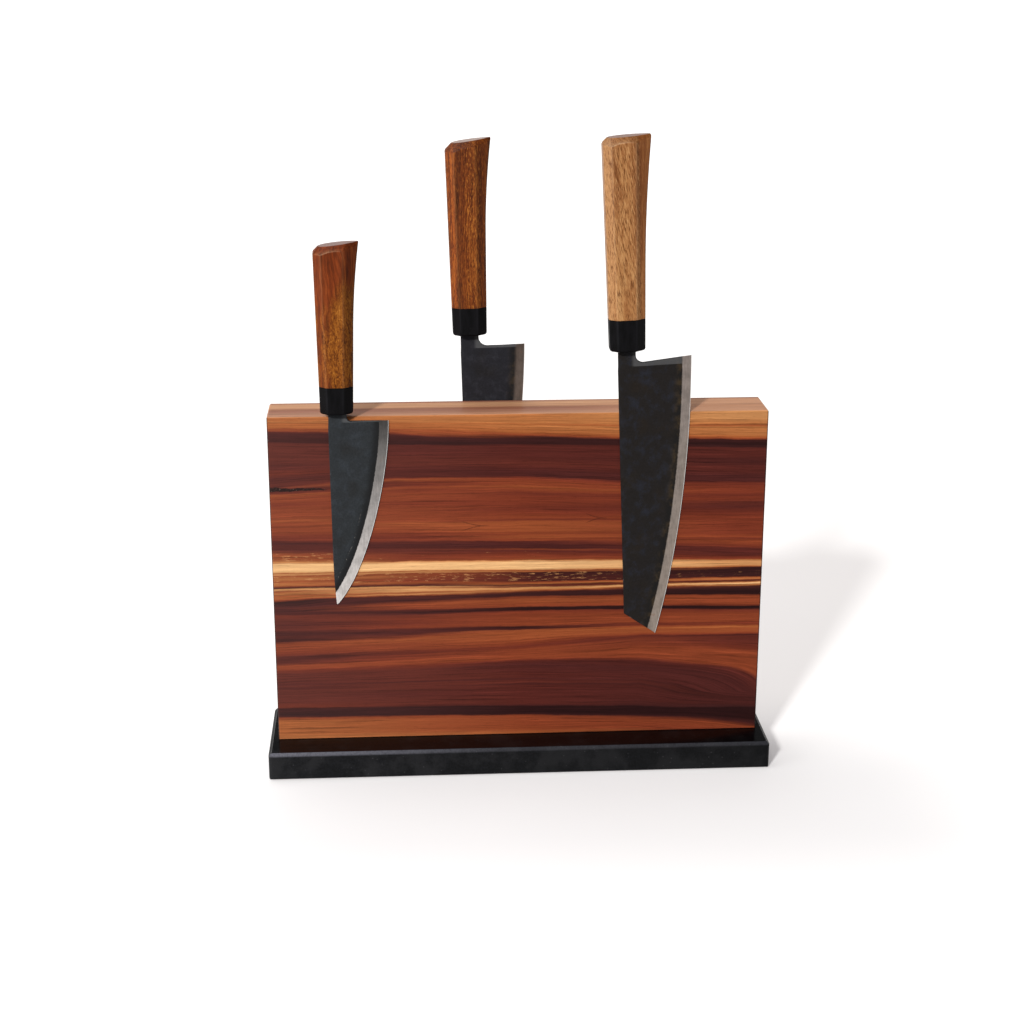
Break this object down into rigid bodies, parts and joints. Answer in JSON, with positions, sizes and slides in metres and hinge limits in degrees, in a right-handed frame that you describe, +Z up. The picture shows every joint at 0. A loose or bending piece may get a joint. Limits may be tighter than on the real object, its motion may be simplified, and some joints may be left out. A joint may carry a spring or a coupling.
{
  "type": "magnetic knife block with knives",
  "caption": "Upright wooden magnetic panel bolted to a polished black stone base, with hand-forged octagonal-handled kitchen knives that pull straight off its faces.",
  "frame": {"origin": "middle of the footprint, on the surface the feet stand on", "axes": "+Z up, +X along the panel towards the large knife, +Y towards the back of the panel"},
  "size_m": [0.348, 0.082, 0.4369],
  "materials": {
    "stone": "polished black granite",
    "rubber": "matt",
    "fastener_steel": "zinc plated",
    "insert_brass": "turned",
    "panel_wood": "oiled red-brown hardwood with pale streaks",
    "beech": "plain",
    "magnet_nickel": "nickel plated",
    "keeper_steel": "mill finish",
    "forged_blade": "black forge scale with a bright ground edge",
    "black_horn": "satin black horn, density of a hard plastic",
    "russet_wood": "oiled",
    "dark_wood": "oiled",
    "tan_wood": "oiled"
  },
  "bodies": {
    "block": {"granite_base": "stone", "rubber_feet": "rubber", "base_bolts": "fastener_steel", "base_washers": "fastener_steel", "threaded_inserts": "insert_brass", "front_board": "panel_wood", "back_board": "panel_wood", "board_pegs": "beech", "front_magnets": "magnet_nickel", "back_magnets": "magnet_nickel", "front_keepers": "keeper_steel", "back_keepers": "keeper_steel"},
    "small_knife": {"small_blade": "forged_blade", "small_ferrule": "black_horn", "small_dowel": "beech", "small_handle": "russet_wood"},
    "middle_knife": {"middle_blade": "forged_blade", "middle_ferrule": "black_horn", "middle_dowel": "beech", "middle_handle": "dark_wood"},
    "large_knife": {"large_blade": "forged_blade", "large_ferrule": "black_horn", "large_dowel": "beech", "large_handle": "tan_wood"}
  },
  "joints": [
    {"name": "small_knife_pull", "type": "slide", "parent": "block", "child": "small_knife", "axis": [0, -1, 0], "range_m": [0, 0.08]},
    {"name": "middle_knife_pull", "type": "slide", "parent": "block", "child": "middle_knife", "axis": [0, 1, 0], "range_m": [0, 0.08]},
    {"name": "large_knife_pull", "type": "slide", "parent": "block", "child": "large_knife", "axis": [0, -1, 0], "range_m": [0, 0.08]}
  ]
}
